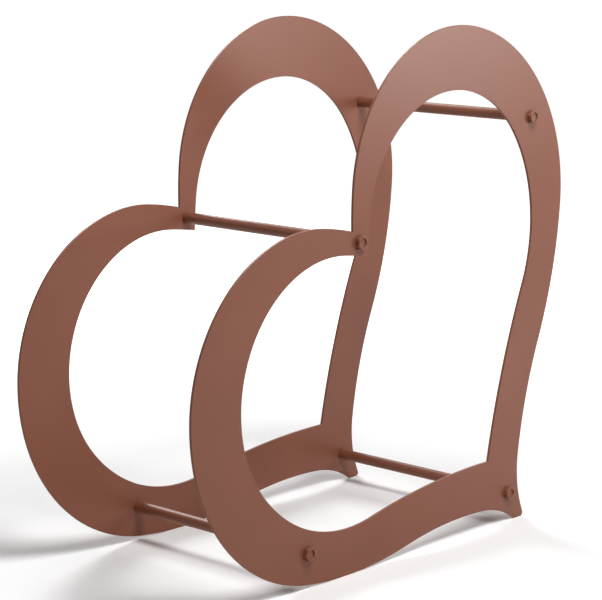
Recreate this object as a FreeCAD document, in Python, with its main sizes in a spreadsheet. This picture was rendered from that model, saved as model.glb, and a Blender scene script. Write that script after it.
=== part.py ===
"""Firewood log rack: two heart-shaped plates joined by four bolted cross rods.

Row frame: +X to the right along the plates, +Y from the front plate to the rear plate,
+Z up, origin on the floor under the centre of the rack. All lengths are millimetres.

Each plate is drawn flat in its own frame. Its x runs along the heart's axis from the cleft
to the toe, its y across the heart, and its z points out of the plate's upper face.
"""
import FreeCAD
import Part
import Sketcher
import math
import os

V = FreeCAD.Vector

# name, value, what it sets (millimetres and degrees)
SIZES = [
    ("plate_thickness", 3.0, "steel sheet of both hearts"),
    ("plate_spacing", 248.0, "between the inner faces of the plates, the rods' length"),
    ("toe_reach", 478.2, "cleft to the floor cut, along the heart's axis"),
    ("cleft_half_angle", 37.5, "each outer edge at the cleft, from the axis"),
    ("cleft_flare", 0.3, "how early the edges straighten into the cleft"),
    ("lobe_back", 86.4, "lobe behind the cleft, along the axis"),
    ("lobe_back_offset", 152.4, "rearmost point of a lobe, from the axis"),
    ("widest_station", 104.6, "widest place, from the cleft"),
    ("half_width", 332.2, "axis to the side of a lobe"),
    ("flank_station", 336.3, "where the flank turns from convex to concave"),
    ("flank_offset", 152.6, "the same place, from the axis"),
    ("flank_angle", 61.9, "slope of the flank there, from the axis"),
    ("toe_half_width", 5.0, "half of the toe's blunt end"),
    ("toe_angle", 9.1, "slope of the toe's sides at its end"),
    ("toe_trim", 8.8, "toe drawn past the floor cut"),
    ("toe_flare", 1.54, "how late the flank straightens into the toe"),
    ("toe_round", 4.0, "radius of the toe's front corner"),
    ("cleft_web", 36.9, "outer cleft to inner cleft"),
    ("inner_cleft_half_angle", 41.7, "each inner edge at the cleft, from the axis"),
    ("ring_back", 56.0, "ring width at the back of a lobe"),
    ("ring_back_shift", 29.4, "inner rearmost point nearer to the axis by this"),
    ("ring_side", 68.3, "ring width at the side of a lobe"),
    ("ring_side_shift", 5.1, "inner widest place nearer to the toe by this"),
    ("toe_web", 101.0, "point of the opening to the floor cut"),
    ("opening_half_angle", 50.0, "each edge of the opening at its point, from the axis"),
    ("cleft_bolt_inset", 16.5, "outer cleft to the cleft bolt"),
    ("toe_bolt_inset", 42.6, "floor cut to the toe bolt"),
    ("toe_bolt_offset", 1.5, "toe bolt off the axis, toward the upper flank"),
    ("upper_bolt_angle", 83.7, "upper bolt about its lobe's centre, from the axis"),
    ("upper_bolt_inset", 34.6, "outer edge to the upper bolt"),
    ("lower_bolt_angle", 45.6, "lower bolt about its lobe's centre, from the axis"),
    ("lower_bolt_inset", 33.8, "outer edge to the lower bolt"),
    ("rod_diameter", 12.7, "round bar"),
    ("rod_chamfer", 0.8, "at both ends of a rod"),
    ("thread_runout", 4.0, "tapped hole deeper than the bolt"),
    ("drill_point", 2.0, "cone at the bottom of the tapped hole"),
    ("bolt_diameter", 8.0, "thread of the bolts"),
    ("bolt_length", 16.0, "under the head"),
    ("bolt_tip_chamfer", 1.0, "lead-in of the thread"),
    ("bolt_clearance", 1.0, "hole in the plate wider than the bolt"),
    ("head_flats", 13.0, "hexagon across its flats"),
    ("head_height", 5.3, "bearing face to the rim"),
    ("head_chamfer", 0.7, "hexagon's corners turned down by this"),
    ("head_chamfer_angle", 30.0, "slope of the turned corners, from the head's face"),
    ("dish_rim", 1.1, "flat to the edge of the dish in the head"),
    ("dish_depth", 1.6, "round dish pressed into the head"),
    ("cleft_bolt_turn", -10.0, "a corner of the hexagon, from straight up"),
    ("upper_bolt_turn", 20.0, "the same on the upper bolt"),
    ("lower_bolt_turn", -26.0, "the same on the lower bolt"),
    ("toe_bolt_turn", -5.0, "the same on the toe bolt"),
]

PLACES = ("cleft", "upper", "lower", "toe")
POINTS_PER_ARC = 400      # where an edge is searched for its lowest or crossed place
HEADING_LINE = 20.0       # length of the construction lines that hold an arc's direction
CENTRE = 3                # the sketcher's number for the centre of an arc or a circle


def make_sheet(doc):
    """The spreadsheet of driving sizes, and the same sizes as a dictionary."""
    sheet = doc.addObject("Spreadsheet::Sheet", "Sizes")
    for row, (name, value, note) in enumerate(SIZES, start=1):
        sheet.set(f"A{row}", name)
        sheet.set(f"B{row}", str(value))
        sheet.set(f"C{row}", note)
        sheet.setAlias(f"B{row}", name)
    doc.recompute()
    return {name: float(sheet.get(name)) for name, _, _ in SIZES}


# ---------------------------------------------------------------- outline of the heart

def heading(degrees):
    """Unit vector at an angle from the heart's axis."""
    angle = math.radians(degrees)
    return V(math.cos(angle), math.sin(angle), 0)


def arc_from(point, along, target):
    """Centre and radius of the arc that leaves point along a direction and ends at target."""
    normal = V(-along.y, along.x, 0)
    chord = target - point
    radius = chord.dot(chord) / (2 * chord.dot(normal))
    return point + normal * radius, abs(radius)


def biarc(start, start_heading, end, end_heading, ratio=1.0):
    """Two tangent arcs between two points with given headings, as (from, to, centre, radius).

    ratio is the first arc's tangent length over the second's.
    """
    leave, arrive = heading(start_heading), heading(end_heading)
    chord = end - start
    both = leave * ratio + arrive
    a = both.dot(both) - (ratio + 1) ** 2
    b = -2 * chord.dot(both)
    c = chord.dot(chord)
    length = (-b - math.sqrt(b * b - 4 * a * c)) / (2 * a)
    if length < 0:
        length = (-b + math.sqrt(b * b - 4 * a * c)) / (2 * a)
    near, far = start + leave * (ratio * length), end - arrive * length
    joint = near + (far - near) * (ratio / (1 + ratio))
    return [(start, joint, *arc_from(start, leave, joint)),
            (joint, end, *arc_from(end, arrive, joint))]


def outer_keys(size):
    """Places that the outer edge passes, each with its heading and its tie to the sheet."""
    toe_end = size["toe_reach"] + size["toe_trim"]
    return [
        (V(0, 0, 0), 180 - size["cleft_half_angle"], None),
        (V(-size["lobe_back"], size["lobe_back_offset"], 0), 90,
         ("-Sizes.lobe_back", "Sizes.lobe_back_offset")),
        (V(size["widest_station"], size["half_width"], 0), 0,
         ("Sizes.widest_station", "Sizes.half_width")),
        (V(size["flank_station"], size["flank_offset"], 0), -size["flank_angle"],
         ("Sizes.flank_station", "Sizes.flank_offset")),
        (V(toe_end, size["toe_half_width"], 0), -size["toe_angle"],
         ("Sizes.toe_reach + Sizes.toe_trim", "Sizes.toe_half_width")),
    ]


def inner_keys(size):
    """The same for the opening's edge, set in from the outer edge by the ring's widths."""
    back_x = size["ring_back"] - size["lobe_back"]
    back_y = size["lobe_back_offset"] - size["ring_back_shift"]
    side_x = size["widest_station"] + size["ring_side_shift"]
    side_y = size["half_width"] - size["ring_side"]
    point_x = size["toe_reach"] - size["toe_web"]
    return [
        (V(size["cleft_web"], 0, 0), 180 - size["inner_cleft_half_angle"], None),
        (V(back_x, back_y, 0), 90,
         ("Sizes.ring_back - Sizes.lobe_back", "Sizes.lobe_back_offset - Sizes.ring_back_shift")),
        (V(side_x, side_y, 0), 0,
         ("Sizes.widest_station + Sizes.ring_side_shift", "Sizes.half_width - Sizes.ring_side")),
        (V(point_x, 0, 0), -size["opening_half_angle"], None),
    ]


def edge_arcs(keys, first_ratio, last_ratio=1.0):
    """All arcs of an edge through its key places."""
    ratios = [first_ratio] + [1.0] * (len(keys) - 3) + [last_ratio]
    arcs = []
    for (start, leave, _), (end, arrive, _), ratio in zip(keys, keys[1:], ratios):
        arcs += biarc(start, leave, end, arrive, ratio)
    return arcs


def points_on(arcs):
    """Points along an edge, close enough to find where it is lowest or crossed."""
    points = []
    for start, end, centre, radius in arcs:
        first = math.atan2(start.y - centre.y, start.x - centre.x)
        last = math.atan2(end.y - centre.y, end.x - centre.x)
        turn = (last - first + math.pi) % (2 * math.pi) - math.pi
        for step in range(POINTS_PER_ARC):
            angle = first + turn * step / POINTS_PER_ARC
            points.append(centre + V(math.cos(angle), math.sin(angle), 0) * radius)
    return points


def floor_tilt(size, outer):
    """Angle of the heart's axis below the floor line, which touches a lobe and the toe cut."""
    lobe = [p for p in points_on(outer) if p.x < size["flank_station"]]
    angles = [math.atan2(p.y, size["toe_reach"] - p.x) for p in lobe]
    return math.degrees(max(angles))


def crossing(arcs, centre, degrees):
    """Where a ray from a lobe's centre meets an edge."""
    ray = heading(degrees)
    side = V(-ray.y, ray.x, 0)
    points = [p for p in points_on(arcs) if (p - centre).dot(ray) > 0]
    return min(points, key=lambda p: abs((p - centre).dot(side)))


def bolt_places(size, outer):
    """Bolt centres in the plate's frame: the cleft, one in the ring of each lobe, and the toe."""
    lobe = V(size["widest_station"], size["lobe_back_offset"], 0)

    def in_ring(name):
        angle = size[f"{name}_bolt_angle"]
        return crossing(outer, lobe, angle) - heading(angle) * size[f"{name}_bolt_inset"]

    lower = in_ring("lower")
    return {
        "cleft": V(size["cleft_bolt_inset"], 0, 0),
        "upper": in_ring("upper"),
        "lower": V(lower.x, -lower.y, 0),
        "toe": V(size["toe_reach"] - size["toe_bolt_inset"], size["toe_bolt_offset"], 0),
    }


# ---------------------------------------------------------------- bodies and sketches

def make_body(doc, label):
    body = doc.addObject("PartDesign::Body", label)
    body.Label = label
    return body


def origin_plane(body, role):
    return next(f for f in body.Origin.OriginFeatures if f.Role == role)


def make_sketch(body, role, name):
    """A sketch on one of the body's own origin planes."""
    sketch = body.newObject("Sketcher::SketchObject", name)
    sketch.AttachmentSupport = (origin_plane(body, role), [""])
    sketch.MapMode = "FlatFace"
    return sketch


def tie(sketch, kind, geometry, value, expression):
    """A dimension bound to the sheet."""
    index = sketch.addConstraint(Sketcher.Constraint(kind, *geometry, value))
    sketch.setExpression(f"Constraints[{index}]", expression)


def tie_point(sketch, geo, end, point, expressions):
    """Both coordinates of a sketch point bound to the sheet."""
    tie(sketch, "DistanceX", (-1, 1, geo, end), point.x, expressions[0])
    tie(sketch, "DistanceY", (-1, 1, geo, end), point.y, expressions[1])


def hold_point(sketch, geo, end, point):
    """Both coordinates of a sketch point set to a place worked out from the outline."""
    sketch.addConstraint(Sketcher.Constraint("DistanceX", -1, 1, geo, end, point.x))
    sketch.addConstraint(Sketcher.Constraint("DistanceY", -1, 1, geo, end, point.y))


def add_arc(sketch, start, end, centre, radius):
    """An arc in the sketch, with the numbers of its first and last point."""
    first = math.atan2(start.y - centre.y, start.x - centre.x)
    last = math.atan2(end.y - centre.y, end.x - centre.x)
    anticlockwise = (last - first) % (2 * math.pi) < math.pi
    low, high = (first, last) if anticlockwise else (last, first)
    circle = Part.Circle(centre, V(0, 0, 1), radius)
    geo = sketch.addGeometry(Part.ArcOfCircle(circle, low, high))
    return (geo, 1, 2) if anticlockwise else (geo, 2, 1)


def add_line(sketch, start, end):
    return (sketch.addGeometry(Part.LineSegment(start, end)), 1, 2)


def draw_edge(sketch, arcs, keys):
    """A smooth chain of arcs, its key places tied to the sheet."""
    chain = [add_arc(sketch, *arc) for arc in arcs]
    for (geo, _, end), (following, start, _) in zip(chain, chain[1:]):
        sketch.addConstraint(Sketcher.Constraint("Tangent", geo, end, following, start))
    for number, (point, direction, ties) in enumerate(keys[1:], start=1):
        geo, _, end = chain[2 * number - 1]
        if ties:
            tie_point(sketch, geo, end, point, ties)
        if direction == 90:
            sketch.addConstraint(Sketcher.Constraint("Horizontal", geo, CENTRE, geo, end))
        if direction == 0:
            sketch.addConstraint(Sketcher.Constraint("Vertical", geo, CENTRE, geo, end))
    return chain


def tie_heading(sketch, geo, end, point, degrees, expression):
    """An arc's direction at its end, held by a construction line bound to the sheet."""
    far = point + heading(degrees) * HEADING_LINE
    line = sketch.addGeometry(Part.LineSegment(point, far), True)
    sketch.addConstraint(Sketcher.Constraint("Tangent", geo, end, line, 1))
    sketch.addConstraint(Sketcher.Constraint("Distance", line, HEADING_LINE))
    tie(sketch, "Angle", (line,), math.radians(degrees), expression)


def join_ends(sketch, first, second):
    sketch.addConstraint(Sketcher.Constraint("Coincident", first[0], first[1], second[0], second[1]))


def draw_half_heart(sketch, size, outer, inner):
    """The ring of half a heart, closed along the axis."""
    out_chain = draw_edge(sketch, outer, outer_keys(size))
    in_chain = draw_edge(sketch, inner, inner_keys(size))
    toe = outer[-1][1]
    cleft, inner_cleft, point = outer[0][0], inner[0][0], inner[-1][1]
    blunt = add_line(sketch, toe, V(toe.x, 0, 0))
    toe_axis = add_line(sketch, V(toe.x, 0, 0), point)
    cleft_axis = add_line(sketch, inner_cleft, cleft)
    join_ends(sketch, (out_chain[-1][0], out_chain[-1][2]), (blunt[0], 1))
    join_ends(sketch, (blunt[0], 2), (toe_axis[0], 1))
    join_ends(sketch, (toe_axis[0], 2), (in_chain[-1][0], in_chain[-1][2]))
    join_ends(sketch, (in_chain[0][0], in_chain[0][1]), (cleft_axis[0], 1))
    join_ends(sketch, (cleft_axis[0], 2), (out_chain[0][0], out_chain[0][1]))
    sketch.addConstraint(Sketcher.Constraint("Coincident", cleft_axis[0], 2, -1, 1))
    sketch.addConstraint(Sketcher.Constraint("Vertical", blunt[0]))
    for line in (toe_axis, cleft_axis):
        sketch.addConstraint(Sketcher.Constraint("PointOnObject", line[0], 1, -1))
    sketch.addConstraint(Sketcher.Constraint("PointOnObject", toe_axis[0], 2, -1))
    tie(sketch, "DistanceX", (-1, 1, cleft_axis[0], 1), inner_cleft.x, "Sizes.cleft_web")
    tie(sketch, "DistanceX", (-1, 1, toe_axis[0], 2), point.x, "Sizes.toe_reach - Sizes.toe_web")
    for link, place, degrees, expression in (
            (out_chain[0][:2], cleft, 180 - size["cleft_half_angle"], "180 - Sizes.cleft_half_angle"),
            (out_chain[5][::2], outer[5][1], -size["flank_angle"], "-Sizes.flank_angle"),
            (out_chain[-1][::2], toe, -size["toe_angle"], "-Sizes.toe_angle"),
            (in_chain[0][:2], inner_cleft, 180 - size["inner_cleft_half_angle"],
             "180 - Sizes.inner_cleft_half_angle"),
            (in_chain[-1][::2], point, -size["opening_half_angle"], "-Sizes.opening_half_angle")):
        tie_heading(sketch, *link, place, degrees, expression)


def draw_polygon(sketch, points):
    lines = [add_line(sketch, a, b) for a, b in zip(points, points[1:] + points[:1])]
    for (geo, _, end), (following, start, _) in zip(lines, lines[1:] + lines[:1]):
        join_ends(sketch, (geo, end), (following, start))
    return lines


def draw_tied_polygon(sketch, corners):
    """A polygon whose corners, as (x, y, tie of x, tie of y), are bound to the sheet."""
    lines = draw_polygon(sketch, [V(x, y, 0) for x, y, _, _ in corners])
    for (geo, start, _), (x, y, x_tie, y_tie) in zip(lines, corners):
        tie_point(sketch, geo, start, V(x, y, 0), (x_tie, y_tie))


def draw_circle(sketch, centre, radius, expression):
    circle = Part.Circle(centre, V(0, 0, 1), radius)
    geo = sketch.addGeometry(circle)
    tie(sketch, "Radius", (geo,), radius, expression)
    return geo


def pad(body, sketch, name, expression, reversed_way=False):
    feature = body.newObject("PartDesign::Pad", name)
    feature.Profile = sketch
    feature.setExpression("Length", expression)
    feature.Reversed = reversed_way
    return feature


def pocket_through(body, sketch, name):
    feature = body.newObject("PartDesign::Pocket", name)
    feature.Profile = sketch
    feature.Type = "ThroughAll"
    feature.Midplane = True
    return feature


def edge_near(shape, point):
    """Name of the edge whose middle is nearest to a point."""
    def distance(edge):
        return edge.valueAt((edge.FirstParameter + edge.LastParameter) / 2).distanceToPoint(point)
    number = min(range(len(shape.Edges)), key=lambda n: distance(shape.Edges[n]))
    return f"Edge{number + 1}"


def dress(body, kind, name, point, bound_size):
    """A fillet or chamfer on the edge nearest to a point."""
    base = body.Tip
    feature = body.newObject(kind, name)
    feature.Base = (base, [edge_near(base.Shape, point)])
    feature.setExpression(*bound_size)
    return feature


# ---------------------------------------------------------------- the pieces

def make_plate(doc, label, size, outline, placement):
    """One heart: half a ring padded and mirrored, cut flat at the floor, rounded and drilled."""
    outer, inner, tilt, places = outline
    body = make_body(doc, label)
    half = make_sketch(body, "XY_Plane", "HalfHeart")
    draw_half_heart(half, size, outer, inner)
    sheet_metal = pad(body, half, "Sheet", "Sizes.plate_thickness")
    doc.recompute()
    whole = body.newObject("PartDesign::Mirrored", "WholeHeart")
    whole.Originals = [sheet_metal]
    whole.MirrorPlane = (origin_plane(body, "XZ_Plane"), [""])
    body.Tip = whole
    doc.recompute()

    floor_line = heading(tilt)
    below = V(floor_line.y, -floor_line.x, 0)
    middle = V(size["toe_reach"], 0, 0)
    reach = floor_line * size["toe_bolt_inset"]
    depth = below * (2 * size["toe_trim"])
    floor = make_sketch(body, "XY_Plane", "FloorCutLine")
    corners = [middle - reach, middle + reach, middle + reach + depth, middle - reach + depth]
    for (geo, start, _), point in zip(draw_polygon(floor, corners), corners):
        hold_point(floor, geo, start, point)
    pocket_through(body, floor, "FloorCut")
    doc.recompute()

    past_cut = [p for p in points_on(outer) if p.x > middle.x]
    flank = min(past_cut, key=lambda p: abs((p - middle).dot(below)))
    corner = V(flank.x, flank.y, size["plate_thickness"] / 2)
    dress(body, "PartDesign::Fillet", "ToeRound", corner, ("Radius", "Sizes.toe_round"))
    doc.recompute()

    holes = make_sketch(body, "XY_Plane", "BoltHoles")
    radius = (size["bolt_diameter"] + size["bolt_clearance"]) / 2
    for place in PLACES:
        hole = draw_circle(holes, places[place], radius,
                           "(Sizes.bolt_diameter + Sizes.bolt_clearance) / 2")
        hold_point(holes, hole, CENTRE, places[place])
    pocket_through(body, holes, "BoltClearance")
    body.Placement = placement
    return body


def make_rod(doc, label, size, placement):
    """A round bar, chamfered and tapped at both ends, turned about its own axis."""
    body = make_body(doc, label)
    radius, bore = size["rod_diameter"] / 2, size["bolt_diameter"] / 2
    length, bevel = size["plate_spacing"], size["rod_chamfer"]
    depth = size["bolt_length"] - size["plate_thickness"] + size["thread_runout"]
    depth_tie = "Sizes.bolt_length - Sizes.plate_thickness + Sizes.thread_runout"
    corners = [
        (0, depth + size["drill_point"], "0", f"{depth_tie} + Sizes.drill_point"),
        (bore, depth, "Sizes.bolt_diameter / 2", depth_tie),
        (bore, 0, "Sizes.bolt_diameter / 2", "0"),
        (radius - bevel, 0, "Sizes.rod_diameter / 2 - Sizes.rod_chamfer", "0"),
        (radius, bevel, "Sizes.rod_diameter / 2", "Sizes.rod_chamfer"),
    ]
    corners += [(x, length - y, x_tie, f"Sizes.plate_spacing - ({y_tie})")
                for x, y, x_tie, y_tie in reversed(corners)]
    profile = make_sketch(body, "XZ_Plane", "RodSection")
    draw_tied_polygon(profile, corners)
    turned = body.newObject("PartDesign::Revolution", "Turned")
    turned.Profile = profile
    turned.ReferenceAxis = (profile, ["V_Axis"])
    turned.Angle = 360
    body.Placement = placement
    return body


def turn_corners(body, size, name, face, face_tie, inward):
    """A cone cut around one face of the head, which takes its corners down by the chamfer."""
    drop, slope = size["head_chamfer"], math.tan(math.radians(size["head_chamfer_angle"]))
    corner, corner_tie = size["head_flats"] / math.sqrt(3), "Sizes.head_flats / sqrt(3)"
    slope_tie = "tan(Sizes.head_chamfer_angle * 1 deg)"
    outside, outside_tie = corner + drop, f"{corner_tie} + Sizes.head_chamfer"
    section = [
        (corner - drop / slope, face, f"{corner_tie} - Sizes.head_chamfer / {slope_tie}", face_tie),
        (outside, face, outside_tie, face_tie),
        (outside, face + inward * drop * (1 + slope), outside_tie,
         f"{face_tie} + {inward} * Sizes.head_chamfer * (1 + {slope_tie})"),
    ]
    sketch = make_sketch(body, "XZ_Plane", name + "Section")
    draw_tied_polygon(sketch, section)
    groove = body.newObject("PartDesign::Groove", name)
    groove.Profile = sketch
    groove.ReferenceAxis = (sketch, ["V_Axis"])
    groove.Angle = 360


def make_bolt(doc, label, size, placement):
    """A hexagon bolt with a round dish in its head. Its z points out of the head."""
    body = make_body(doc, label)
    corner, reach = size["head_flats"] / math.sqrt(3), "Sizes.head_flats / sqrt(3)"
    head = make_sketch(body, "XY_Plane", "HeadHexagon")
    turns = [60 * number for number in range(6)]
    points = [heading(90 - turn) * corner for turn in turns]
    for (geo, start, _), point, turn in zip(draw_polygon(head, points), points, turns):
        tie_point(head, geo, start, point, (f"{reach} * sin({turn} deg)", f"{reach} * cos({turn} deg)"))
    pad(body, head, "Head", "Sizes.head_height")
    turn_corners(body, size, "TopCorners", size["head_height"], "Sizes.head_height", -1)
    turn_corners(body, size, "BaseCorners", 0, "0", 1)

    dish = make_sketch(body, "XY_Plane", "DishCircle")
    rim = draw_circle(dish, V(0, 0, 0), size["head_flats"] / 2 - size["dish_rim"],
                      "Sizes.head_flats / 2 - Sizes.dish_rim")
    hold_point(dish, rim, CENTRE, V(0, 0, 0))
    dish.setExpression("AttachmentOffset.Base.z", "Sizes.head_height")
    pressed = body.newObject("PartDesign::Pocket", "Dish")
    pressed.Profile = dish
    pressed.setExpression("Length", "Sizes.dish_depth")

    shank = make_sketch(body, "XY_Plane", "ShankCircle")
    thread = draw_circle(shank, V(0, 0, 0), size["bolt_diameter"] / 2, "Sizes.bolt_diameter / 2")
    hold_point(shank, thread, CENTRE, V(0, 0, 0))
    pad(body, shank, "Shank", "Sizes.bolt_length", reversed_way=True)
    doc.recompute()
    tip = V(-size["bolt_diameter"] / 2, 0, -size["bolt_length"])
    dress(body, "PartDesign::Chamfer", "ThreadTip", tip, ("Size", "Sizes.bolt_tip_chamfer"))
    body.Placement = placement
    return body


# ---------------------------------------------------------------- the assembly

def plate_rotation(tilt):
    """Heart's axis down to the right by the tilt, plate's upper face to the front."""
    angle = math.radians(tilt)
    x_axis = V(math.cos(angle), 0, -math.sin(angle))
    y_axis = V(math.sin(angle), 0, math.cos(angle))
    return FreeCAD.Rotation(x_axis, y_axis, V(0, -1, 0), "XYZ")


def origin_shift(outer, rotation, size):
    """Moves the upright heart over the origin: centred along X and standing at Z = 0."""
    upright = []
    for point in points_on(outer):
        if point.x < size["toe_reach"]:
            upright += [rotation.multVec(point), rotation.multVec(V(point.x, -point.y, 0))]
    centre = (min(p.x for p in upright) + max(p.x for p in upright)) / 2
    floor = rotation.multVec(V(size["toe_reach"], 0, 0)).z
    return V(-centre, 0, -floor)


def check_model(doc, pieces):
    """Stops before anything is written if a feature or a piece failed."""
    for item in doc.Objects:
        if "Invalid" in item.State or "Error" in item.State:
            raise RuntimeError(f"{item.Label} failed: {item.State}")
    for piece in pieces:
        shape = piece.Shape
        if shape.isNull() or not shape.isValid() or len(shape.Solids) != 1:
            raise RuntimeError(f"{piece.Label} is not one valid solid")


def build():
    doc = FreeCAD.newDocument("LogRack")
    size = make_sheet(doc)
    outer = edge_arcs(outer_keys(size), size["cleft_flare"], size["toe_flare"])
    inner = edge_arcs(inner_keys(size), size["cleft_flare"])
    tilt = floor_tilt(size, outer)
    places = bolt_places(size, outer)
    outline = (outer, inner, tilt, places)
    rotation = plate_rotation(tilt)
    shift = origin_shift(outer, rotation, size)
    half_gap, thickness = size["plate_spacing"] / 2, size["plate_thickness"]

    pieces = []
    for label, depth in (("front_heart_plate", -half_gap), ("rear_heart_plate", half_gap + thickness)):
        placement = FreeCAD.Placement(shift + V(0, depth, 0), rotation)
        pieces.append(make_plate(doc, label, size, outline, placement))

    face = half_gap + thickness
    for place in PLACES:
        centre = rotation.multVec(places[place]) + shift
        along = FreeCAD.Rotation(V(0, 0, 1), V(0, 1, 0))
        rod_placement = FreeCAD.Placement(centre - V(0, half_gap, 0), along)
        pieces.append(make_rod(doc, f"{place}_cross_rod", size, rod_placement))
        turn = size[f"{place}_bolt_turn"]
        for side, sign in (("front", -1), ("rear", 1)):
            facing = FreeCAD.Rotation(V(-sign, 0, 0), V(0, 0, 1), V(0, sign, 0), "XYZ")
            turned = FreeCAD.Rotation(V(0, sign, 0), -sign * turn).multiply(facing)
            seat = FreeCAD.Placement(centre + V(0, sign * face, 0), turned)
            pieces.append(make_bolt(doc, f"{side}_{place}_bolt", size, seat))
    doc.recompute()
    check_model(doc, pieces)
    return pieces


def write_steps(pieces):
    os.makedirs("parts", exist_ok=True)
    for piece in pieces:
        piece.Shape.exportStep(f"parts/{piece.Label}.step")
        box = piece.Shape.BoundBox
        print(f"{piece.Label}: {piece.Shape.Volume:.1f} mm3, x {box.XMin:.2f} to {box.XMax:.2f}, "
              f"y {box.YMin:.2f} to {box.YMax:.2f}, z {box.ZMin:.2f} to {box.ZMax:.2f}")


write_steps(build())
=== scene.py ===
"""Firewood log rack: the looks of its two heart plates, four cross rods and eight bolts."""
import math

import bpy
from mathutils import Matrix, Vector


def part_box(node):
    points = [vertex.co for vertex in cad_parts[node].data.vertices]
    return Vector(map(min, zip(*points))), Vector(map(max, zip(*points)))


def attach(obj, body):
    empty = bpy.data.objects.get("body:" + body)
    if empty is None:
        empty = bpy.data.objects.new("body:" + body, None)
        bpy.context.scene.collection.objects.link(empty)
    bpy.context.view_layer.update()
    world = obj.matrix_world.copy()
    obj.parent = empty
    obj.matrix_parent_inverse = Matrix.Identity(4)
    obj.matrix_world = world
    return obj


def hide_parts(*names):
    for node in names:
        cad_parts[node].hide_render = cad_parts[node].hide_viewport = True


bl_info = {
    "name": "Firewood Log Rack",
    "version": (1, 0, 0),
    "blender": (4, 5, 0),
    "location": "3D View > Sidebar > Log Rack",
    "description": "Models a heart-shaped firewood rack around its construction model",
    "category": "Add Mesh",
}

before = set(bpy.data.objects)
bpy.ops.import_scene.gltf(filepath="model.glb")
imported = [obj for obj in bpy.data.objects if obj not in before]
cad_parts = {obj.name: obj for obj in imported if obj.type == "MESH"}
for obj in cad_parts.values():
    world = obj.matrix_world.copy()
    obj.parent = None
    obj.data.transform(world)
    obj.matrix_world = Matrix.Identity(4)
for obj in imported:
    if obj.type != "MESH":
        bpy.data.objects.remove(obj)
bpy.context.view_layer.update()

PLACES = ("cleft", "upper", "lower", "toe")
SIDES = {"front": -1, "rear": 1}
MM = 0.001


def length(name, value, description):
    """A size in metres, given here in millimetres."""
    return bpy.props.FloatProperty(name=name, description=description, default=value * MM,
                                   unit="LENGTH", precision=4)


def angle(name, value, description):
    """An angle in radians, given here in degrees."""
    return bpy.props.FloatProperty(name=name, description=description,
                                   default=math.radians(value), subtype="ANGLE")


def number(name, value, description):
    return bpy.props.FloatProperty(name=name, description=description, default=value, min=0)


def share(name, value, description):
    """A number from 0 to 1."""
    return bpy.props.FloatProperty(name=name, description=description, default=value,
                                   min=0, max=1)


def count(name, value, description):
    return bpy.props.IntProperty(name=name, description=description, default=value, min=1)


def colour(name, value, description):
    return bpy.props.FloatVectorProperty(name=name, description=description, default=value,
                                         subtype="COLOR", min=0, max=1)


def location(name, value, description):
    """A point in metres."""
    return bpy.props.FloatVectorProperty(name=name, description=description, default=value,
                                         subtype="TRANSLATION", unit="LENGTH")


# ---------------------------------------------------------------- sizes and looks

class HeartSizes(bpy.types.PropertyGroup):
    """The outline of a heart, along its axis from the cleft to the toe and across it."""

    toe_reach: length("Toe reach", 478.2, "Cleft to the floor cut, along the axis")
    cleft_half_angle: angle("Cleft half angle", 37.5, "Outer edge at the cleft, from the axis")
    cleft_flare: number("Cleft flare", 0.3, "How early the edges straighten into the cleft")
    lobe_back: length("Lobe back", 86.4, "Lobe behind the cleft, along the axis")
    lobe_back_offset: length("Lobe back offset", 152.4, "Rearmost point of a lobe, from the axis")
    widest_station: length("Widest station", 104.6, "Widest place, from the cleft")
    half_width: length("Half width", 332.2, "Axis to the side of a lobe")
    flank_station: length("Flank station", 336.3, "Where the flank turns concave")
    flank_offset: length("Flank offset", 152.6, "The same place, from the axis")
    flank_angle: angle("Flank angle", 61.9, "Slope of the flank there, from the axis")
    toe_half_width: length("Toe half width", 5.0, "Half of the toe's blunt end")
    toe_angle: angle("Toe angle", 9.1, "Slope of the toe's sides at its end")
    toe_trim: length("Toe trim", 8.8, "Toe drawn past the floor cut")
    toe_flare: number("Toe flare", 1.54, "How late the flank straightens into the toe")
    toe_round: length("Toe round", 4.0, "Radius of the toe's front corner")
    cleft_web: length("Cleft web", 36.9, "Outer cleft to inner cleft")
    inner_cleft_half_angle: angle("Inner cleft half angle", 41.7,
                                  "Inner edge at the cleft, from the axis")
    ring_back: length("Ring back", 56.0, "Ring width at the back of a lobe")
    ring_back_shift: length("Ring back shift", 29.4, "Inner rearmost point nearer to the axis")
    ring_side: length("Ring side", 68.3, "Ring width at the side of a lobe")
    ring_side_shift: length("Ring side shift", 5.1, "Inner widest place nearer to the toe")
    toe_web: length("Toe web", 101.0, "Point of the opening to the floor cut")
    opening_half_angle: angle("Opening half angle", 50.0, "Opening's edge at its point")
    cleft_bolt_inset: length("Cleft bolt inset", 16.5, "Outer cleft to the cleft bolt")
    toe_bolt_inset: length("Toe bolt inset", 42.6, "Floor cut to the toe bolt")
    toe_bolt_offset: length("Toe bolt offset", 1.5, "Toe bolt off the axis")
    bolt_hole: length("Bolt hole", 9.0, "Diameter of the clearance holes")
    hole_steps: count("Hole steps", 48, "Straight pieces round a clearance hole")
    edge_round: length("Edge round", 0.4, "Softening of the cut edges under the coat")
    edge_round_steps: count("Edge round steps", 3, "Faces across a softened edge")
    edge_round_angle: angle("Edge round angle", 40.0, "Edges that turn more are softened")
    arc_step: length("Arc step", 2.5, "Longest straight piece of an arc")
    arc_least: count("Arc least", 8, "Fewest straight pieces of an arc")
    outline_merge: length("Outline merge", 0.02, "Ends of the outline that are one corner")


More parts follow.
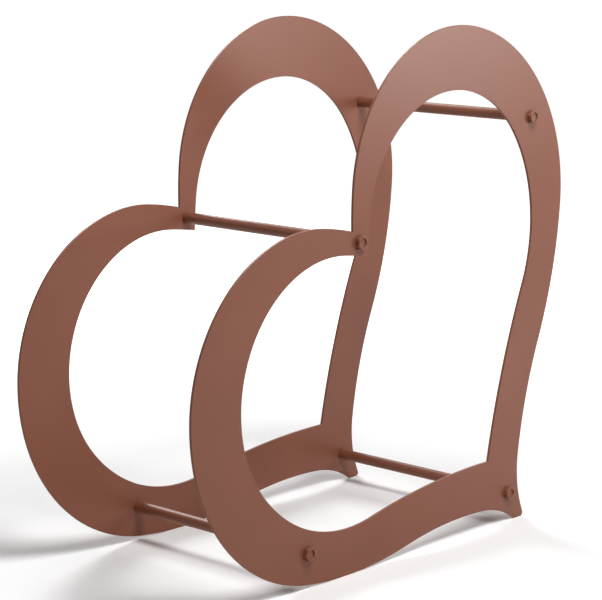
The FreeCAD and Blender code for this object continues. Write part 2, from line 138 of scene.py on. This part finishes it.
class HardwareSizes(bpy.types.PropertyGroup):
    """Details of the round bars and of the dished hexagon bolts."""

    rod_chamfer: length("Rod chamfer", 0.8, "At both ends of a rod")
    thread_diameter: length("Thread diameter", 8.0, "Bolts and tapped holes")
    bolt_length: length("Bolt length", 16.0, "Under the head")
    tip_chamfer: length("Tip chamfer", 1.0, "Lead-in of the thread")
    hole_runout: length("Hole runout", 4.0, "Tapped hole deeper than the bolt")
    drill_point: length("Drill point", 2.0, "Cone at the bottom of the tapped hole")
    head_chamfer: length("Head chamfer", 0.7, "Corners of the hexagon turned down")
    head_chamfer_angle: angle("Head chamfer angle", 30.0, "Slope of the turned corners")
    dish_rim: length("Dish rim", 1.1, "Flat to the edge of the dish")
    dish_depth: length("Dish depth", 1.6, "Depth of the dish in the head")
    dish_fillet: length("Dish fillet", 0.5, "Radius where the dish's wall meets its floor")
    head_round: length("Head round", 0.16, "Softening of the head's edges under the coat")
    head_round_steps: count("Head round steps", 2, "Faces across a softened edge")
    head_round_angle: angle("Head round angle", 25.0, "Edges that turn more are softened")
    bar_spare: length("Bar spare", 2.0, "Hexagon bar longer than the bolt, half at each end")
    turned_steps: count("Turned steps", 96, "Facets round a turned shape")
    turned_merge: length("Turned merge", 0.001, "Points of a turned shape that are one")
    bolt_merge: length("Bolt merge", 0.003, "Slivers of a bolt that are closed up")
    rod_smooth_angle: angle("Rod smooth angle", 30.0, "Faces that turn less than this look smooth")
    bolt_smooth_angle: angle("Bolt smooth angle", 25.0, "The same on a bolt")


class CoatLook(bpy.types.PropertyGroup):
    """The brown powder coat that covers every piece."""

    coat_colour: colour("Coat colour", (0.212, 0.074, 0.042), "Brown of the powder coat")
    mottle: share("Mottle", 0.03, "How far the brown drifts to lighter and darker")
    mottle_scale: number("Mottle scale", 9, "Clouds in a metre")
    mottle_detail: number("Mottle detail", 3, "Finer clouds within the clouds")
    mottle_start: share("Mottle start", 0.35, "Cloud value with the darkest brown")
    mottle_end: share("Mottle end", 0.65, "Cloud value with the lightest brown")
    coat_roughness: share("Coat roughness", 0.34, "How satin the coat is")
    roughness_spread: share("Roughness spread", 0.04, "How far the grain moves it either way")
    coat_gloss: number("Coat gloss", 0.23,
                       "How strongly the coat reflects, 0.5 for a clear varnish")
    grain_size: length("Grain size", 0.7, "Size of the coat's fine texture")
    grain_detail: number("Grain detail", 2, "Finer grain within the grain")
    grain_depth: length("Grain depth", 0.012, "Depth of the coat's fine texture")


class StudioLook(bpy.types.PropertyGroup):
    """Camera, lamps and floor."""

    camera_azimuth: angle("Camera azimuth", -48.18, "Camera round the rack, from the front")
    camera_elevation: angle("Camera elevation", 10.405, "Camera above the horizon")
    camera_roll: angle("Camera roll", 0.6435, "Camera turned about its own axis")
    camera_distance: length("Camera distance", 2273.1, "Camera to the point it aims at")
    aim: location("Aim", (-0.0017, 0.0019, 0.2698), "Point that the camera aims at")
    lens: number("Lens", 124.14, "Focal length in millimetres")
    sensor: number("Sensor", 36, "Width of the camera's sensor in millimetres")
    fill: number("Fill", 0.055, "Plain light from all round")
    key_power: number("Key power", 26, "Soft light from above the front, in watts")
    key_place: location("Key place", (-0.10, -0.72, 1.64), "Lamp above the front")
    key_size: length("Key size", 700.0, "Side of the square lamp")
    sheen_power: number("Sheen power", 5.6, "Low soft light that the plates reflect, in watts")
    sheen_place: location("Sheen place", (0.96, -0.94, 0.60), "Lamp low at the right")
    sheen_size: length("Sheen size", 400.0, "Side of the square lamp")
    rim_power: number("Rim power", 34, "Soft light from the rear right, in watts")
    rim_place: location("Rim place", (0.7, 1.7, 1.8), "Lamp at the rear right")
    rim_size: length("Rim size", 1000.0, "Side of the square lamp")
    lamp_aim: location("Lamp aim", (0, 0, 0.4), "Point that the lamps aim at")
    floor_size: length("Floor size", 40000.0, "Side of the square floor")
    floor_colour: colour("Floor colour", (0.88, 0.88, 0.88), "Pale studio floor")
    floor_lift: number("Floor lift", 0.02, "How much the floor under the rack is lifted to white")
    shadow_reach: length("Shadow reach", 200.0, "Round the rack's middle, with the least lift")
    white_reach: length("White reach", 1700.0,
                        "Round the rack's middle, where all is lifted to white")


# ---------------------------------------------------------------- shared modelling steps

def select_only(obj):
    bpy.ops.object.select_all(action="DESELECT")
    obj.select_set(True)
    bpy.context.view_layer.objects.active = obj


def apply_modifier(obj, kind, **settings):
    """Adds a modifier to a piece and applies it."""
    select_only(obj)
    bpy.ops.object.modifier_add(type=kind)
    modifier = obj.modifiers[-1]
    for name, value in settings.items():
        setattr(modifier, name, value)
    bpy.ops.object.modifier_apply(modifier=modifier.name)


def new_drawing(name):
    """An empty mesh object in edit mode, ready to be drawn in."""
    bpy.ops.object.select_all(action="DESELECT")
    bpy.ops.mesh.primitive_plane_add(size=MM)
    drawing = bpy.context.object
    drawing.name = name
    bpy.ops.object.mode_set(mode="EDIT")
    bpy.ops.mesh.select_all(action="SELECT")
    bpy.ops.mesh.delete(type="VERT")
    return drawing


def add_vertex(point):
    """A single selected vertex in the drawing that is being edited."""
    bpy.ops.mesh.select_all(action="DESELECT")
    bpy.ops.mesh.primitive_plane_add(size=MM, location=point)
    bpy.ops.mesh.merge(type="CENTER")


def finish_piece(piece, node, coat):
    """Names a piece for its node, gives it its coat and lets it stand for the node."""
    piece.name = node + "_coated"
    piece.data.name = piece.name
    piece.data.materials.clear()
    piece.data.materials.append(coat)
    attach(piece, "root")
    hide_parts(node)


def node_axis(node):
    """Middle of a node's box in X and Z, with Y at 0."""
    low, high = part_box(node)
    return Vector(((low.x + high.x) / 2, 0, (low.z + high.z) / 2))


# ---------------------------------------------------------------- outline of the heart
# An arc is its start, its centre and its turn, which is positive to the left.

def heading(turn):
    """Unit vector at an angle from the heart's axis."""
    return Vector((math.cos(turn), math.sin(turn), 0))


def turn_between(start, centre, end):
    a, b = start - centre, end - centre
    return math.atan2(a.cross(b).z, a.dot(b))


def arc_from(point, along, target):
    """The arc that leaves point along a direction and ends at target."""
    normal = Vector((-along.y, along.x, 0))
    chord = target - point
    radius = chord.dot(chord) / (2 * chord.dot(normal))
    centre = point + normal * radius
    return point, centre, turn_between(point, centre, target)


def biarc(start, start_turn, end, end_turn, ratio):
    """Two tangent arcs between two points with given headings.

    ratio is the first arc's tangent length over the second's.
    """
    leave, arrive = heading(start_turn), heading(end_turn)
    chord = end - start
    both = leave * ratio + arrive
    a = both.dot(both) - (ratio + 1) ** 2
    b = -2 * chord.dot(both)
    c = chord.dot(chord)
    reach = (-b - math.sqrt(b * b - 4 * a * c)) / (2 * a)
    near, far = start + leave * (ratio * reach), end - arrive * reach
    joint = near + (far - near) * (ratio / (1 + ratio))
    return [arc_from(start, leave, joint), arc_from(joint, (far - near).normalized(), end)]


def edge_arcs(keys, first_ratio, last_ratio=1.0):
    """All arcs of an edge through its key places and headings."""
    ratios = [first_ratio] + [1.0] * (len(keys) - 3) + [last_ratio]
    arcs = []
    for start, end, ratio in zip(keys, keys[1:], ratios):
        arcs += biarc(*start, *end, ratio)
    return arcs


def outer_edge(heart):
    toe_end = heart.toe_reach + heart.toe_trim
    keys = [
        (Vector((0, 0, 0)), math.pi - heart.cleft_half_angle),
        (Vector((-heart.lobe_back, heart.lobe_back_offset, 0)), math.pi / 2),
        (Vector((heart.widest_station, heart.half_width, 0)), 0),
        (Vector((heart.flank_station, heart.flank_offset, 0)), -heart.flank_angle),
        (Vector((toe_end, heart.toe_half_width, 0)), -heart.toe_angle),
    ]
    return edge_arcs(keys, heart.cleft_flare, heart.toe_flare)


def inner_edge(heart):
    back = (heart.ring_back - heart.lobe_back, heart.lobe_back_offset - heart.ring_back_shift, 0)
    side = (heart.widest_station + heart.ring_side_shift, heart.half_width - heart.ring_side, 0)
    keys = [
        (Vector((heart.cleft_web, 0, 0)), math.pi - heart.inner_cleft_half_angle),
        (Vector(back), math.pi / 2),
        (Vector(side), 0),
        (Vector((heart.toe_reach - heart.toe_web, 0, 0)), -heart.opening_half_angle),
    ]
    return edge_arcs(keys, heart.cleft_flare)


def mirrored(arcs):
    """The same arcs on the other side of the axis."""
    flip = Matrix.Diagonal((1, -1, 1))
    return [(flip @ start, flip @ centre, -turn) for start, centre, turn in arcs]


def meet(point, along, centre, radius, time):
    """Where a line meets a circle, its first (-1) or second (1) time."""
    offset = point - centre
    b = offset.dot(along)
    return point + along * (time * math.sqrt(b * b - offset.dot(offset) + radius * radius) - b)


def cut_at_floor(heart, tilt):
    """The upper side down to the toe's rounded corner, and the lower side down to the floor."""
    floor_line, up = heading(tilt), heading(tilt + math.pi / 2)
    middle = Vector((heart.toe_reach, 0, 0))
    upper = outer_edge(heart)
    lower = mirrored(upper)

    start, centre, _ = upper[-1]
    flank, corner = (start - centre).length, heart.toe_round
    fillet = meet(middle + up * corner, floor_line, centre, flank + corner, -1)
    leave = centre.lerp(fillet, flank / (flank + corner))
    land = fillet - up * corner
    upper[-1] = (start, centre, turn_between(start, centre, leave))
    upper.append((leave, fillet, turn_between(leave, fillet, land)))

    start, centre, _ = lower[-1]
    end = meet(middle, floor_line, centre, flank, 1)
    lower[-1] = (start, centre, turn_between(start, centre, end))
    return upper, lower, (land, end)


def draw_arcs(arcs, heart):
    """Draws a chain of arcs from its first point; spin counts turns to the right as positive."""
    add_vertex(arcs[0][0])
    for start, centre, turn in arcs:
        run = (start - centre).length * abs(turn)
        steps = max(heart.arc_least, math.ceil(run / heart.arc_step))
        bpy.ops.mesh.spin(steps=steps, angle=-turn, center=centre, axis=(0, 0, 1))


def add_edge(start, end):
    """A straight edge between two places."""
    add_vertex(start)
    bpy.ops.mesh.extrude_region_move(TRANSFORM_OT_translate={"value": end - start})


# ---------------------------------------------------------------- the pieces

def heart_placement(heart):
    """The heart's tilt and the place of its cleft, from the cleft and toe bolts' places."""
    cleft, toe = node_axis("front_cleft_bolt"), node_axis("front_toe_bolt")
    reach = heart.toe_reach - heart.toe_bolt_inset - heart.cleft_bolt_inset
    tilt = math.atan2(heart.toe_bolt_offset, reach) - math.atan2(toe.z - cleft.z, toe.x - cleft.x)
    along = Vector((math.cos(tilt), 0, -math.sin(tilt)))
    return cleft - along * heart.cleft_bolt_inset, along, tilt


def make_heart_plate(node, coat):
    """A laser-cut heart ring with its bolt holes, softened at its edges."""
    heart = bpy.context.scene.rack_heart
    origin, along, tilt = heart_placement(heart)
    across = Vector((-along.z, 0, along.x))
    low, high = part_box(node)
    thickness = high.y - low.y

    plate = new_drawing(node)
    upper, lower, toe_flat = cut_at_floor(heart, tilt)
    opening = inner_edge(heart)
    for arcs in (upper, lower, opening, mirrored(opening)):
        draw_arcs(arcs, heart)
    add_edge(*toe_flat)
    for place in PLACES:
        offset = node_axis(f"{place}_cross_rod") - origin
        centre = (offset.dot(along), offset.dot(across), 0)
        bpy.ops.mesh.primitive_circle_add(vertices=heart.hole_steps, radius=heart.bolt_hole / 2,
                                          location=centre)
    bpy.ops.mesh.select_all(action="SELECT")
    bpy.ops.mesh.remove_doubles(threshold=heart.outline_merge)

    bpy.ops.mesh.fill(use_beauty=True)
    bpy.ops.mesh.select_all(action="SELECT")
    bpy.ops.mesh.extrude_region_move(TRANSFORM_OT_translate={"value": (0, 0, -thickness)})
    bpy.ops.mesh.select_all(action="SELECT")
    bpy.ops.mesh.normals_make_consistent(inside=False)
    bpy.ops.object.mode_set(mode="OBJECT")

    turn = Matrix((along, across, Vector((0, -1, 0)))).transposed().to_4x4()
    select_only(plate)
    plate.matrix_world = Matrix.Translation(Vector((origin.x, low.y, origin.z))) @ turn
    bpy.ops.object.transform_apply(location=True, rotation=True, scale=True)
    apply_modifier(plate, "BEVEL", width=heart.edge_round, segments=heart.edge_round_steps,
                   limit_method="ANGLE", angle_limit=heart.edge_round_angle,
                   use_clamp_overlap=False)
    finish_piece(plate, node, coat)


def spin_section(name, section, sizes):
    """A turned shape about Z from its section, as (radius, height) points."""
    turned = new_drawing(name)
    add_vertex((section[0][0], 0, section[0][1]))
    for (radius, height), (next_radius, next_height) in zip(section, section[1:]):
        move = (next_radius - radius, 0, next_height - height)
        bpy.ops.mesh.extrude_region_move(TRANSFORM_OT_translate={"value": move})
    bpy.ops.mesh.select_all(action="SELECT")
    bpy.ops.mesh.spin(steps=sizes.turned_steps, angle=math.tau, center=(0, 0, 0),
                      axis=(0, 0, 1))
    bpy.ops.mesh.select_all(action="SELECT")
    bpy.ops.mesh.remove_doubles(threshold=sizes.turned_merge)
    bpy.ops.mesh.normals_make_consistent(inside=False)
    bpy.ops.object.mode_set(mode="OBJECT")
    return turned


def arc_points(centre, radius, first, last, steps=6):
    """Points of a section along a fillet."""
    turns = [first + (last - first) * step / steps for step in range(steps + 1)]
    return [(centre[0] + radius * math.cos(t), centre[1] + radius * math.sin(t)) for t in turns]


def make_rod(node, coat):
    """A round bar, chamfered and tapped at both ends."""
    sizes = bpy.context.scene.rack_hardware
    low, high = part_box(node)
    radius, span = (high.x - low.x) / 2, high.y - low.y
    plate_low, plate_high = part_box("front_heart_plate")
    depth = sizes.bolt_length - (plate_high.y - plate_low.y) + sizes.hole_runout
    bore, bevel = sizes.thread_diameter / 2, sizes.rod_chamfer
    near = [(0, depth + sizes.drill_point), (bore, depth), (bore, 0),
            (radius - bevel, 0), (radius, bevel)]
    far = [(r, span - h) for r, h in reversed(near)]
    rod = spin_section(node, near + far, sizes)
    centre = node_axis(node)
    rod.matrix_world = (Matrix.Translation((centre.x, low.y, centre.z))
                        @ Matrix.Rotation(-math.pi / 2, 4, "X"))
    select_only(rod)
    bpy.ops.object.transform_apply(location=True, rotation=True, scale=True)
    bpy.ops.object.shade_smooth_by_angle(angle=sizes.rod_smooth_angle)
    finish_piece(rod, node, coat)


def bolt_blank(sizes, corner_radius, height):
    """The bolt's turned form before its hexagon is cut: thread, chamfered head and dish."""
    shank, tip = sizes.thread_diameter / 2, sizes.tip_chamfer
    slope = math.tan(sizes.head_chamfer_angle)
    inner = corner_radius - sizes.head_chamfer / slope
    outside = corner_radius + sizes.head_chamfer
    drop = sizes.head_chamfer * (1 + slope)
    flat_radius = corner_radius * math.cos(math.pi / 6)
    dish, floor = flat_radius - sizes.dish_rim, height - sizes.dish_depth
    fillet = arc_points((dish - sizes.dish_fillet, floor + sizes.dish_fillet), sizes.dish_fillet,
                        0, -math.pi / 2)
    section = [(0, -sizes.bolt_length), (shank - tip, -sizes.bolt_length),
               (shank, tip - sizes.bolt_length), (shank, 0), (inner, 0), (outside, drop),
               (outside, height - drop), (inner, height), (dish, height), *fillet, (0, floor)]
    return spin_section("bolt_blank", section, sizes)


def head_corner(node):
    """One corner of a bolt's head, from the bolt's axis: the node's point farthest out."""
    centre = node_axis(node)
    points = [Vector((v.co.x, 0, v.co.z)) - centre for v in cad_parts[node].data.vertices]
    return max(points, key=lambda point: point.length)


def make_bolt(side, place, coat):
    """A hexagon bolt cut from bar, seated on its plate with the turn of its node."""
    sizes = bpy.context.scene.rack_hardware
    node = f"{side}_{place}_bolt"
    sign = SIDES[side]
    bolt_low, bolt_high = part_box(node)
    plate_low, plate_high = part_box(f"{side}_heart_plate")
    seat = plate_low.y if sign < 0 else plate_high.y
    crown = bolt_low.y if sign < 0 else bolt_high.y
    corner = head_corner(node)
    height = abs(crown - seat)

    blank = bolt_blank(sizes, corner.length, height)
    bpy.ops.object.select_all(action="DESELECT")
    middle = (height - sizes.bolt_length) / 2
    bpy.ops.mesh.primitive_cylinder_add(vertices=6, radius=corner.length,
                                        depth=height + sizes.bolt_length + sizes.bar_spare,
                                        location=(0, 0, middle))
    bar = bpy.context.object
    bpy.ops.object.transform_apply(location=True, rotation=True, scale=True)
    apply_modifier(bar, "BOOLEAN", operation="INTERSECT", object=blank, solver="EXACT")
    bpy.data.objects.remove(blank)
    apply_modifier(bar, "BEVEL", width=sizes.head_round, segments=sizes.head_round_steps,
                   limit_method="ANGLE", angle_limit=sizes.head_round_angle, harden_normals=True)

    out = Vector((0, sign, 0))
    first = corner.normalized()
    turn = Matrix((first.cross(out), first, out)).transposed().to_4x4()
    centre = node_axis(node)
    bar.matrix_world = Matrix.Translation((centre.x, seat, centre.z)) @ turn
    select_only(bar)
    bpy.ops.object.transform_apply(location=True, rotation=True, scale=True)
    bpy.ops.object.mode_set(mode="EDIT")
    bpy.ops.mesh.select_all(action="SELECT")
    bpy.ops.mesh.remove_doubles(threshold=sizes.bolt_merge)
    bpy.ops.mesh.dissolve_degenerate(threshold=sizes.bolt_merge)
    bpy.ops.mesh.normals_make_consistent(inside=False)
    bpy.ops.object.mode_set(mode="OBJECT")
    bpy.ops.object.shade_smooth_by_angle(angle=sizes.bolt_smooth_angle)
    finish_piece(bar, node, coat)


# ---------------------------------------------------------------- the coat

def powder_coat():
    """Satin powder coat: even brown, faintly mottled, with a fine orange-peel texture."""
    look = bpy.context.scene.rack_coat
    coat = bpy.data.materials.new("brown_powder_coat")
    coat.use_nodes = True
    nodes, links = coat.node_tree.nodes, coat.node_tree.links
    shader = nodes["Principled BSDF"]
    shader.inputs["Specular IOR Level"].default_value = look.coat_gloss
    shader.inputs["Metallic"].default_value = 0
    position = nodes.new("ShaderNodeTexCoord")

    cloud = nodes.new("ShaderNodeTexNoise")
    cloud.inputs["Scale"].default_value = look.mottle_scale
    cloud.inputs["Detail"].default_value = look.mottle_detail
    links.new(position.outputs["Object"], cloud.inputs["Vector"])
    tone = nodes.new("ShaderNodeValToRGB")
    low, high = tone.color_ramp.elements
    low.position, high.position = look.mottle_start, look.mottle_end
    low.color = (*(c * (1 - look.mottle) for c in look.coat_colour), 1)
    high.color = (*(c * (1 + look.mottle) for c in look.coat_colour), 1)
    links.new(cloud.outputs["Fac"], tone.inputs["Fac"])
    links.new(tone.outputs["Color"], shader.inputs["Base Color"])

    grain = nodes.new("ShaderNodeTexNoise")
    grain.inputs["Scale"].default_value = 1 / look.grain_size
    grain.inputs["Detail"].default_value = look.grain_detail
    links.new(position.outputs["Object"], grain.inputs["Vector"])
    gloss = nodes.new("ShaderNodeMapRange")
    gloss.inputs["To Min"].default_value = look.coat_roughness - look.roughness_spread
    gloss.inputs["To Max"].default_value = look.coat_roughness + look.roughness_spread
    links.new(grain.outputs["Fac"], gloss.inputs["Value"])
    links.new(gloss.outputs["Result"], shader.inputs["Roughness"])
    relief = nodes.new("ShaderNodeBump")
    relief.inputs["Distance"].default_value = look.grain_depth
    links.new(grain.outputs["Fac"], relief.inputs["Height"])
    links.new(relief.outputs["Normal"], shader.inputs["Normal"])
    return coat


def coat_material():
    """The one coat that every piece shares."""
    return bpy.data.materials.get("brown_powder_coat") or powder_coat()


# ---------------------------------------------------------------- the studio

def seen_directly(nodes, links):
    """1 for rays from the camera or off a glossy or clear surface, 0 for light that spreads."""
    path = nodes.new("ShaderNodeLightPath")
    total = path.outputs["Is Camera Ray"]
    for ray in ("Is Glossy Ray", "Is Transmission Ray"):
        either = nodes.new("ShaderNodeMath")
        either.operation = "MAXIMUM"
        links.new(total, either.inputs[0])
        links.new(path.outputs[ray], either.inputs[1])
        total = either.outputs[0]
    return total


def studio_floor(look):
    """A wide pale floor that takes the rack's shadow and is lifted to white around it."""
    bpy.ops.object.select_all(action="DESELECT")
    bpy.ops.mesh.primitive_plane_add(size=look.floor_size)
    floor = bpy.context.object
    floor.name = "studio_floor"
    paint = bpy.data.materials.new("pale_floor")
    paint.use_nodes = True
    nodes, links = paint.node_tree.nodes, paint.node_tree.links
    nodes.clear()
    surface = nodes.new("ShaderNodeBsdfDiffuse")
    surface.inputs["Color"].default_value = (*look.floor_colour, 1)

    position = nodes.new("ShaderNodeTexCoord")
    distance = nodes.new("ShaderNodeVectorMath")
    distance.operation = "LENGTH"
    links.new(position.outputs["Object"], distance.inputs[0])
    lift = nodes.new("ShaderNodeMapRange")
    lift.interpolation_type = "SMOOTHSTEP"
    lift.inputs["From Min"].default_value = look.shadow_reach
    lift.inputs["From Max"].default_value = look.white_reach
    lift.inputs["To Min"].default_value = look.floor_lift
    lift.inputs["To Max"].default_value = 1
    links.new(distance.outputs["Value"], lift.inputs["Value"])
    shown = nodes.new("ShaderNodeMath")
    shown.operation = "MULTIPLY"
    links.new(lift.outputs["Result"], shown.inputs[0])
    links.new(seen_directly(nodes, links), shown.inputs[1])
    glow = nodes.new("ShaderNodeEmission")
    links.new(shown.outputs[0], glow.inputs["Strength"])

    both = nodes.new("ShaderNodeAddShader")
    links.new(surface.outputs["BSDF"], both.inputs[0])
    links.new(glow.outputs["Emission"], both.inputs[1])
    output = nodes.new("ShaderNodeOutputMaterial")
    links.new(both.outputs["Shader"], output.inputs["Surface"])
    floor.data.materials.append(paint)


def studio_world(look):
    """A plain even fill, seen as white by the camera and in reflections."""
    world = bpy.data.worlds.new("studio_world")
    bpy.context.scene.world = world
    world.use_nodes = True
    nodes, links = world.node_tree.nodes, world.node_tree.links
    nodes.clear()
    strength = nodes.new("ShaderNodeMix")
    strength.inputs["A"].default_value = look.fill
    strength.inputs["B"].default_value = 1
    links.new(seen_directly(nodes, links), strength.inputs["Factor"])
    sky = nodes.new("ShaderNodeBackground")
    sky.inputs["Color"].default_value = (1, 1, 1, 1)
    links.new(strength.outputs["Result"], sky.inputs["Strength"])
    output = nodes.new("ShaderNodeOutputWorld")
    links.new(sky.outputs["Background"], output.inputs["Surface"])


def add_softbox(lamp, look):
    """A square soft lamp aimed at the rack, out of every camera's sight."""
    where = Vector(getattr(look, f"{lamp}_place"))
    bpy.ops.object.light_add(type="AREA", location=where)
    softbox = bpy.context.object
    softbox.name = f"{lamp}_softbox"
    softbox.data.shape = "SQUARE"
    softbox.data.size = getattr(look, f"{lamp}_size")
    softbox.data.energy = getattr(look, f"{lamp}_power")
    softbox.rotation_euler = (Vector(look.lamp_aim) - where).to_track_quat("-Z", "Y").to_euler()
    softbox.visible_camera = False


def add_camera(look):
    """The camera, aimed at the rack and turned by its roll."""
    around, above = look.camera_azimuth, look.camera_elevation
    back = Vector((math.sin(around) * math.cos(above), -math.cos(around) * math.cos(above),
                   math.sin(above)))
    bpy.ops.object.camera_add()
    camera = bpy.context.object
    aim_turn = (-back).to_track_quat("-Z", "Y").to_matrix().to_4x4()
    roll = Matrix.Rotation(look.camera_roll, 4, "Z")
    camera.matrix_world = (Matrix.Translation(Vector(look.aim) + back * look.camera_distance)
                           @ aim_turn @ roll)
    camera.data.lens = look.lens
    camera.data.sensor_width = look.sensor
    bpy.context.scene.camera = camera


# ---------------------------------------------------------------- operators

class RACK_OT_heart_plates(bpy.types.Operator):
    """Model the front and rear heart plates"""

    bl_idname = "rack.heart_plates"
    bl_label = "Heart Plates"

    def execute(self, context):
        for side in SIDES:
            make_heart_plate(f"{side}_heart_plate", coat_material())
        return {"FINISHED"}


class RACK_OT_cross_rods(bpy.types.Operator):
    """Model the four cross rods"""

    bl_idname = "rack.cross_rods"
    bl_label = "Cross Rods"

    def execute(self, context):
        for place in PLACES:
            make_rod(f"{place}_cross_rod", coat_material())
        return {"FINISHED"}


class RACK_OT_bolts(bpy.types.Operator):
    """Model the eight dished hexagon bolts"""

    bl_idname = "rack.bolts"
    bl_label = "Bolts"

    def execute(self, context):
        for side in SIDES:
            for place in PLACES:
                make_bolt(side, place, coat_material())
        return {"FINISHED"}


class RACK_OT_studio(bpy.types.Operator):
    """Set up the floor, the lamps and the camera"""

    bl_idname = "rack.studio"
    bl_label = "Studio"

    def execute(self, context):
        look = context.scene.rack_studio
        studio_floor(look)
        studio_world(look)
        for lamp in ("key", "sheen", "rim"):
            add_softbox(lamp, look)
        add_camera(look)
        context.scene.view_settings.view_transform = "Standard"
        return {"FINISHED"}


class RACK_PT_panel(bpy.types.Panel):
    """Builds the rack, piece by piece"""

    bl_idname = "RACK_PT_panel"
    bl_label = "Firewood Log Rack"
    bl_space_type = "VIEW_3D"
    bl_region_type = "UI"
    bl_category = "Log Rack"

    def draw(self, context):
        layout = self.layout
        for operator in OPERATORS:
            layout.operator(operator.bl_idname)
        for name, group in GROUPS.items():
            box = layout.box()
            for setting in group.__annotations__:
                box.prop(getattr(context.scene, name), setting)


GROUPS = {"rack_heart": HeartSizes, "rack_hardware": HardwareSizes, "rack_coat": CoatLook,
          "rack_studio": StudioLook}
OPERATORS = (RACK_OT_heart_plates, RACK_OT_cross_rods, RACK_OT_bolts, RACK_OT_studio)


def register():
    for cls in (*GROUPS.values(), *OPERATORS, RACK_PT_panel):
        bpy.utils.register_class(cls)
    for name, group in GROUPS.items():
        setattr(bpy.types.Scene, name, bpy.props.PointerProperty(type=group))


def unregister():
    for name in GROUPS:
        delattr(bpy.types.Scene, name)
    for cls in (RACK_PT_panel, *reversed(OPERATORS), *reversed(GROUPS.values())):
        bpy.utils.unregister_class(cls)


def main():
    register()
    bpy.ops.rack.heart_plates()
    bpy.ops.rack.cross_rods()
    bpy.ops.rack.bolts()
    bpy.ops.rack.studio()


if __name__ == "__main__":
    main()
